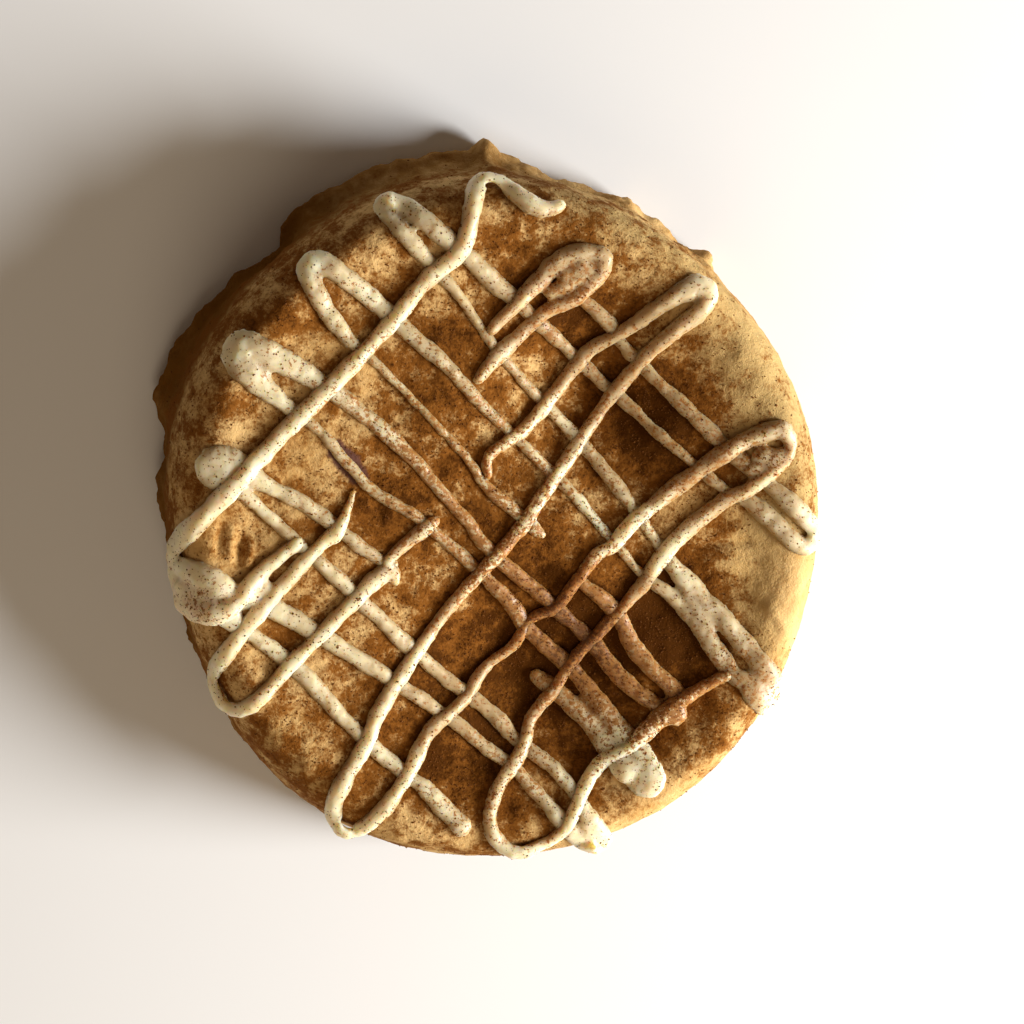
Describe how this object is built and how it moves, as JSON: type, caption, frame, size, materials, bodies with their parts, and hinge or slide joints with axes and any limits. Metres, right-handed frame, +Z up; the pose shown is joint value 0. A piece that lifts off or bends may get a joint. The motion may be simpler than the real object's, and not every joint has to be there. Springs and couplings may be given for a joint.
{
  "type": "snickerdoodle cookie",
  "caption": "Thick, soft round cookie dusted with cinnamon, with icing drizzled over its sunken top in two crossing passes.",
  "frame": {"origin": "centre of the cookie's outline, on the flat sole", "axes": "+Z up from the sole; +X to the right and +Y to the top of the picture"},
  "size_m": [0.0879, 0.0952, 0.0202],
  "materials": {
    "dough": "golden baked dough, matt and crumbly",
    "icing": "cream icing, soft sheen",
    "cinnamon": "ground cinnamon, matt"
  },
  "bodies": {
    "root": {"cookie": "dough"}
  },
  "joints": []
}
